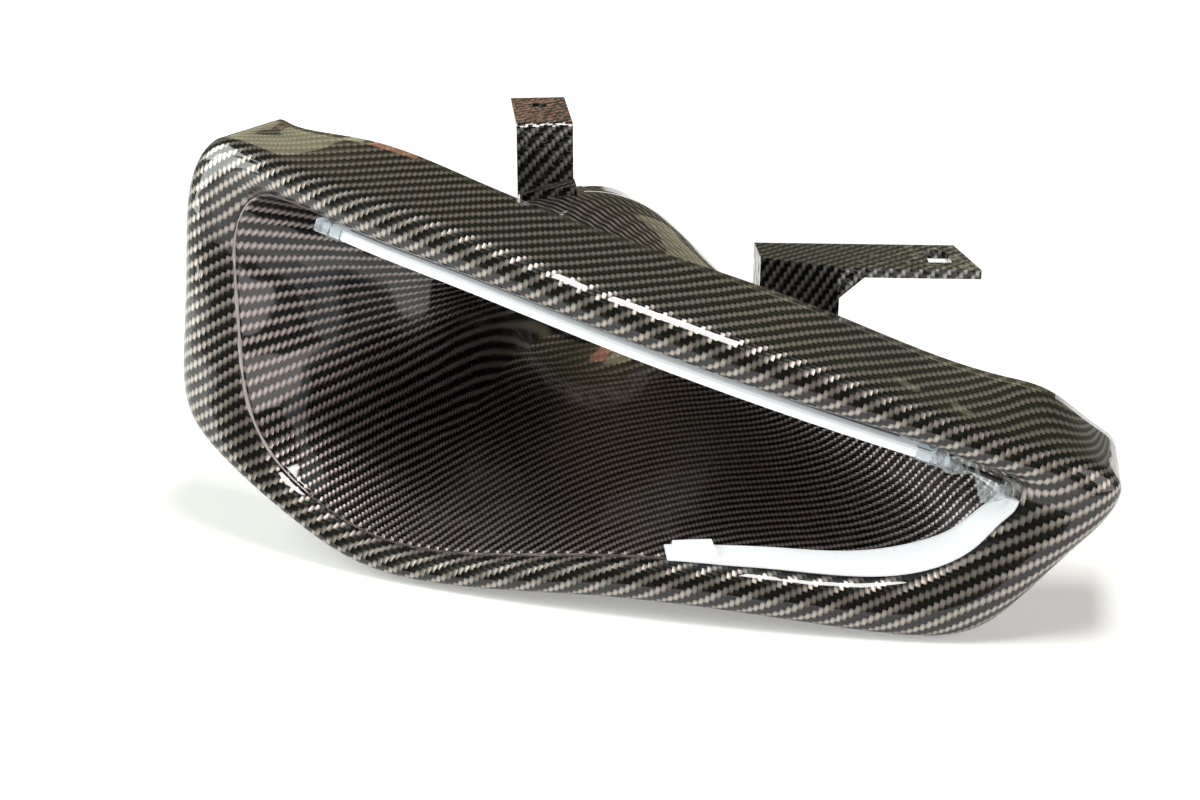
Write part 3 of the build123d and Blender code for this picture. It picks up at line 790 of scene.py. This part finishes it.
# Corner film: the scrap of clear film that is crumpled over the lead in that corner.
# Thin stiff plastic, pushed in by hand and held by the glue and the end cap.
FILM_STEPS = 40
FILM_LINES = 14
FILM_TOP = 2.6
FILM_DROP = 8.0
FILM_STAND_OFF = 2.6
FILM_CRUMPLE = 1.1
FILM_END_GAP = 1.0
FILM_BLEND = 3.0
FILM_END_WIDTH = 0.45
FILM_THICKNESS = 0.0002
FOLD_MIDDLE = 0.8
FOLD_WAVES = ((1.0, 0.55, 2.1, 0.0), (0.6, 0.31, -5.2, 1.0))
lead_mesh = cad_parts["strip_lead"].data
lead_places = np.array([tuple(vertex.co) for vertex in lead_mesh.vertices]) / MILLIMETRE
film_left = lead_places[:, 0].min() + FILM_END_GAP
film_right = lead_places[:, 0].max() - FILM_END_GAP
film_points = []
for step in range(FILM_STEPS):
    share = step / (FILM_STEPS - 1)
    across = film_left + (film_right - film_left) * share
    weights = np.exp(-(np.abs(lead_places[:, 0] - across) / FILM_BLEND) ** 2)
    middle = (lead_places * weights[:, None]).sum(axis=0) / weights.sum()
    middle[0] = across
    width = FILM_END_WIDTH + (1 - FILM_END_WIDTH) * math.sqrt(max(math.sin(math.pi * share), 0))
    for line in range(FILM_LINES):
        drop = line / (FILM_LINES - 1)
        fold = sum(
            height * abs(math.sin(along_rate * step + down_rate * drop + start))
            for height, along_rate, down_rate, start in FOLD_WAVES
        )
        up = width * (FILM_TOP - FILM_DROP * drop)
        out = FILM_STAND_OFF + FILM_CRUMPLE * (fold - FOLD_MIDDLE)
        film_points.append(middle + face_up * up + face_out * out)
film_faces = []
for step in range(FILM_STEPS - 1):
    for line in range(FILM_LINES - 1):
        first = step * FILM_LINES + line
        film_faces.append((first, first + 1, first + FILM_LINES + 1, first + FILM_LINES))
film = new_piece("corner_film", film_points, film_faces, False)
film_sheet = film.modifiers.new("thickness", "SOLIDIFY")
film_sheet.thickness = FILM_THICKNESS
film_finish = mottled_finish(
    "clear_film",
    scale=260,
    dark=(0.3, 0.36, 0.4),
    light=(0.85, 0.93, 0.98),
    settings={"Roughness": 0.08, "Coat Weight": 1.0},
)
film_tree = film_finish.node_tree
film_shader = film_tree.nodes["Principled BSDF"]
film_clear = film_tree.nodes.new("ShaderNodeMapRange")
film_clear.inputs["From Min"].default_value = 0.35
film_clear.inputs["From Max"].default_value = 0.7
film_clear.inputs["To Min"].default_value = 0.12
film_clear.inputs["To Max"].default_value = 0.6
film_tree.links.new(film_tree.nodes["mottle"].outputs["Cloud"], film_clear.inputs["Value"])
film_tree.links.new(film_clear.outputs["Result"], film_shader.inputs["Alpha"])
film.data.materials.append(film_finish)
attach(film, "root")

# Studio: a pale floor just under the part, with a glow that grows outward so that it burns out.
# Soft panels light the part, and the coloured ones behind it show in the clear coat.
# The camera stands at the photograph's angle.
FLOOR_REACH = 12000.0
FLOOR_GAP = 0.5
floor_height = cad_low[2] / MILLIMETRE - FLOOR_GAP
floor_corners = [
    (-FLOOR_REACH, -FLOOR_REACH, floor_height),
    (FLOOR_REACH, -FLOOR_REACH, floor_height),
    (FLOOR_REACH, FLOOR_REACH, floor_height),
    (-FLOOR_REACH, FLOOR_REACH, floor_height),
]
floor = new_piece("pale_floor", floor_corners, [(0, 1, 2, 3)], False)
floor_finish, floor_tree, floor_shader = new_finish("pale_floor")
floor_shader.inputs["Base Color"].default_value = (0.9, 0.9, 0.9, 1)
floor_shader.inputs["Roughness"].default_value = 0.9
floor_shader.inputs["Specular IOR Level"].default_value = 0.0
floor_shader.inputs["Emission Color"].default_value = (1.0, 1.0, 1.0, 1)
floor_place = floor_tree.nodes.new("ShaderNodeTexCoord")
floor_distance = floor_tree.nodes.new("ShaderNodeVectorMath")
floor_distance.operation = "LENGTH"
floor_tree.links.new(floor_place.outputs["Object"], floor_distance.inputs[0])
floor_glow = floor_tree.nodes.new("ShaderNodeMapRange")
floor_glow.interpolation_type = "SMOOTHSTEP"
floor_glow.inputs["From Min"].default_value = 0.2
floor_glow.inputs["From Max"].default_value = 1.2
floor_glow.inputs["To Min"].default_value = 0.3
floor_glow.inputs["To Max"].default_value = 0.95
floor_tree.links.new(floor_distance.outputs["Value"], floor_glow.inputs["Value"])
floor_tree.links.new(floor_glow.outputs["Result"], floor_shader.inputs["Emission Strength"])
floor.data.materials.append(floor_finish)

world = bpy.data.worlds.new("studio")
bpy.context.scene.world = world
world.use_nodes = True
sky = world.node_tree.nodes["Background"]
sky.inputs["Color"].default_value = (0.62, 0.62, 0.42, 1)
sky.inputs["Strength"].default_value = 0.15

LIGHTS_AIM = Vector((0.0, -0.18, 0.0))


def soft_box(name, place, width, height, power, colour):
    """A rectangular light that faces the part; sizes in metres, power in watts."""
    light = bpy.data.lights.new(name, "AREA")
    light.shape = "RECTANGLE"
    light.size = width
    light.size_y = height
    light.energy = power
    light.color = colour
    lamp = bpy.data.objects.new(name, light)
    lamp.location = place
    lamp.rotation_euler = (LIGHTS_AIM - Vector(place)).to_track_quat("-Z", "Y").to_euler()
    bpy.context.scene.collection.objects.link(lamp)


soft_box("window_left", (-1.15, 0.05, 0.75), 0.7, 0.8, 12, (0.95, 1.0, 0.95))
soft_box("door_left", (-1.2, -0.3, 0.3), 0.35, 0.5, 4, (0.95, 1.0, 0.95))
soft_box("overhead", (0.15, -0.25, 1.3), 0.6, 0.28, 11, (1.0, 0.99, 0.97))
soft_box("front_fill", (1.15, -0.95, 0.5), 0.9, 0.9, 7, (1.0, 0.94, 0.92))
soft_box("hedge_left", (-0.3, 1.5, 0.55), 0.45, 0.5, 0.5, (1.0, 0.95, 0.6))
soft_box("brick_left", (0.02, 1.5, 0.5), 0.16, 0.4, 0.16, (1.0, 0.42, 0.25))
soft_box("hedge_right", (1.0, 1.4, 0.6), 0.6, 0.6, 0.7, (1.0, 0.96, 0.62))

CAMERA_AZIMUTH = math.radians(-6)
CAMERA_ELEVATION = math.radians(21)
camera_data = bpy.data.cameras.new("photo_camera")
camera_data.lens = 48
camera_data.sensor_width = 36
camera_data.clip_start = 0.01
camera = bpy.data.objects.new("photo_camera", camera_data)
camera.location = (-0.0816, -0.8169, 0.2332)
forward = Vector((
    -math.sin(CAMERA_AZIMUTH) * math.cos(CAMERA_ELEVATION),
    math.cos(CAMERA_AZIMUTH) * math.cos(CAMERA_ELEVATION),
    -math.sin(CAMERA_ELEVATION),
))
camera.rotation_euler = forward.to_track_quat("-Z", "Y").to_euler()
bpy.context.scene.collection.objects.link(camera)
bpy.context.scene.camera = camera
bpy.context.scene.view_settings.view_transform = "Standard"
